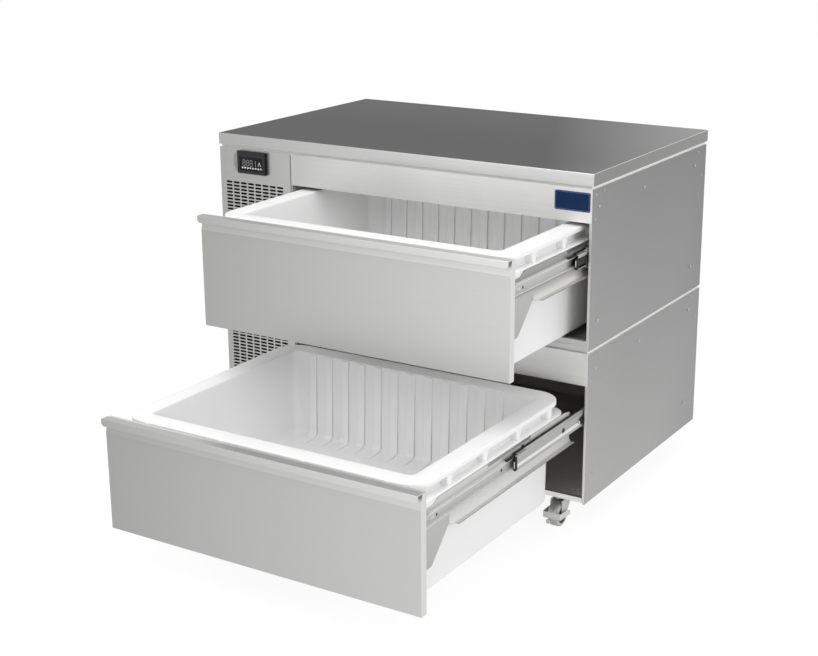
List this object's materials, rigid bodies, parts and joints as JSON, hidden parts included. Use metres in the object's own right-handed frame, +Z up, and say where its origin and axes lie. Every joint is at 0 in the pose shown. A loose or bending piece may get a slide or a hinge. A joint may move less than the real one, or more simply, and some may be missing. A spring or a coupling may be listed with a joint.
{
  "type": "undercounter drawer refrigerator",
  "caption": "Counter-height refrigerator with stacked insulated drawers on full-extension slides beside a ventilated machinery bay, under a flat worktop on swivel castors.",
  "frame": {"origin": "on the floor under the middle of the cabinet's footprint", "axes": "+X to the right seen from the front, +Y to the back, +Z up; the drawers open towards -Y"},
  "size_m": [1.1, 1.461, 0.9],
  "materials": {
    "worktop_steel": "fine brushed, light",
    "panel_steel": "fine brushed, light",
    "side_steel": "fine brushed, shaded",
    "spacer_white": "light, satin",
    "label_blue": "bare plate, satin",
    "screw_steel": "plain",
    "copper": "dull copper",
    "castor_steel": "zinc plated",
    "liner_dark": "dark, matt",
    "sill_steel": "light",
    "ctrl_plastic": "dark grey",
    "display_glass": "dark window",
    "lid_plastic": "white",
    "gasket_rubber": "soft",
    "slide_steel": "zinc plated",
    "comp_black": "black",
    "cond_alu": "dusty fins",
    "fan_plastic": "black",
    "front_steel": "fine brushed, light",
    "carriage_steel": "light",
    "bin_plastic": "white moulded",
    "wheel_rubber": "grey tread"
  },
  "bodies": {
    "cabinet": {"worktop": "worktop_steel", "spacer_frames": "spacer_white", "label_plate": "label_blue", "panel_screws": "screw_steel", "pipework": "copper", "castor_plates": "castor_steel", "upper_side_right": "side_steel", "upper_side_left": "side_steel", "upper_back_panel": "side_steel", "upper_carcass": "liner_dark", "upper_sill": "sill_steel", "upper_fascia": "panel_steel", "upper_engine_panel": "panel_steel", "upper_controller": "ctrl_plastic", "upper_display": "display_glass", "upper_slide_outer": "slide_steel", "upper_compressor": "comp_black", "upper_condenser": "cond_alu", "upper_evaporator": "copper", "lower_side_right": "side_steel", "lower_side_left": "side_steel", "lower_back_panel": "side_steel", "lower_carcass": "liner_dark", "lower_sill": "sill_steel", "lower_fascia": "panel_steel", "lower_engine_panel": "panel_steel", "lower_controller": "ctrl_plastic", "lower_display": "display_glass", "lower_slide_outer": "slide_steel", "lower_compressor": "comp_black", "lower_condenser": "cond_alu", "lower_evaporator": "copper"},
    "upper_drawer": {"upper_drawer_front": "front_steel", "upper_handle_lip": "front_steel", "upper_carriage": "carriage_steel", "upper_bin": "bin_plastic", "upper_slide_inner": "slide_steel"},
    "upper_slides": {"upper_slide_mid": "slide_steel"},
    "upper_lid": {"upper_lid": "lid_plastic", "upper_lid_gasket": "gasket_rubber"},
    "upper_fan": {"upper_condenser_fan": "fan_plastic"},
    "lower_drawer": {"lower_drawer_front": "front_steel", "lower_handle_lip": "front_steel", "lower_carriage": "carriage_steel", "lower_bin": "bin_plastic", "lower_slide_inner": "slide_steel"},
    "lower_slides": {"lower_slide_mid": "slide_steel"},
    "lower_lid": {"lower_lid": "lid_plastic", "lower_lid_gasket": "gasket_rubber"},
    "lower_fan": {"lower_condenser_fan": "fan_plastic"},
    "fork_fl": {"castor_fork_fl": "castor_steel"},
    "wheel_fl": {"castor_wheel_fl": "wheel_rubber"},
    "brake_fl": {"castor_brake_fl": "castor_steel"},
    "fork_fr": {"castor_fork_fr": "castor_steel"},
    "wheel_fr": {"castor_wheel_fr": "wheel_rubber"},
    "brake_fr": {"castor_brake_fr": "castor_steel"},
    "fork_rl": {"castor_fork_rl": "castor_steel"},
    "wheel_rl": {"castor_wheel_rl": "wheel_rubber"},
    "fork_rr": {"castor_fork_rr": "castor_steel"},
    "wheel_rr": {"castor_wheel_rr": "wheel_rubber"}
  },
  "joints": [
    {"name": "upper_drawer_slide", "type": "slide", "parent": "cabinet", "child": "upper_drawer", "axis": [0, -1, 0], "range_m": [-0.3645, 0.3615]},
    {"name": "upper_mid_slide", "type": "slide", "parent": "cabinet", "child": "upper_slides", "axis": [0, -1, 0], "range_m": [-0.18225, 0.18075]},
    {"name": "upper_lid_lift", "type": "slide", "parent": "cabinet", "child": "upper_lid", "axis": [0, 0, -1], "range_m": [0, 0.005]},
    {"name": "upper_fan_spin", "type": "hinge", "parent": "cabinet", "child": "upper_fan", "pos_m": [-0.4315, -0.266, 0.606], "axis": [0, 1, 0], "continuous": true},
    {"name": "lower_drawer_slide", "type": "slide", "parent": "cabinet", "child": "lower_drawer", "axis": [0, -1, 0], "range_m": [-0.726, 0]},
    {"name": "lower_mid_slide", "type": "slide", "parent": "cabinet", "child": "lower_slides", "axis": [0, -1, 0], "range_m": [-0.363, 0]},
    {"name": "lower_lid_lift", "type": "slide", "parent": "cabinet", "child": "lower_lid", "axis": [0, 0, -1], "range_m": [0, 0.005]},
    {"name": "lower_fan_spin", "type": "hinge", "parent": "cabinet", "child": "lower_fan", "pos_m": [-0.4315, -0.266, 0.218], "axis": [0, 1, 0], "continuous": true},
    {"name": "swivel_fl", "type": "hinge", "parent": "cabinet", "child": "fork_fl", "pos_m": [-0.467, -0.305, 0.075], "axis": [0, 0, 1], "continuous": true},
    {"name": "roll_fl", "type": "hinge", "parent": "fork_fl", "child": "wheel_fl", "pos_m": [-0.467, -0.33, 0.03], "axis": [1, 0, 0], "continuous": true},
    {"name": "brake_fl", "type": "hinge", "parent": "fork_fl", "child": "brake_fl", "pos_m": [-0.467, -0.33, 0.03], "axis": [1, 0, 0], "range_deg": [0, 12]},
    {"name": "swivel_fr", "type": "hinge", "parent": "cabinet", "child": "fork_fr", "pos_m": [0.467, -0.305, 0.075], "axis": [0, 0, 1], "continuous": true},
    {"name": "roll_fr", "type": "hinge", "parent": "fork_fr", "child": "wheel_fr", "pos_m": [0.467, -0.33, 0.03], "axis": [1, 0, 0], "continuous": true},
    {"name": "brake_fr", "type": "hinge", "parent": "fork_fr", "child": "brake_fr", "pos_m": [0.467, -0.33, 0.03], "axis": [1, 0, 0], "range_deg": [0, 12]},
    {"name": "swivel_rl", "type": "hinge", "parent": "cabinet", "child": "fork_rl", "pos_m": [-0.43, 0.29, 0.075], "axis": [0, 0, 1], "continuous": true},
    {"name": "roll_rl", "type": "hinge", "parent": "fork_rl", "child": "wheel_rl", "pos_m": [-0.43, 0.265, 0.03], "axis": [1, 0, 0], "continuous": true},
    {"name": "swivel_rr", "type": "hinge", "parent": "cabinet", "child": "fork_rr", "pos_m": [0.43, 0.29, 0.075], "axis": [0, 0, 1], "continuous": true},
    {"name": "roll_rr", "type": "hinge", "parent": "fork_rr", "child": "wheel_rr", "pos_m": [0.43, 0.265, 0.03], "axis": [1, 0, 0], "continuous": true}
  ],
  "couplings": [
    {"joint": "upper_mid_slide", "follows": "upper_drawer_slide", "ratio": 0.5},
    {"joint": "lower_mid_slide", "follows": "lower_drawer_slide", "ratio": 0.5}
  ]
}
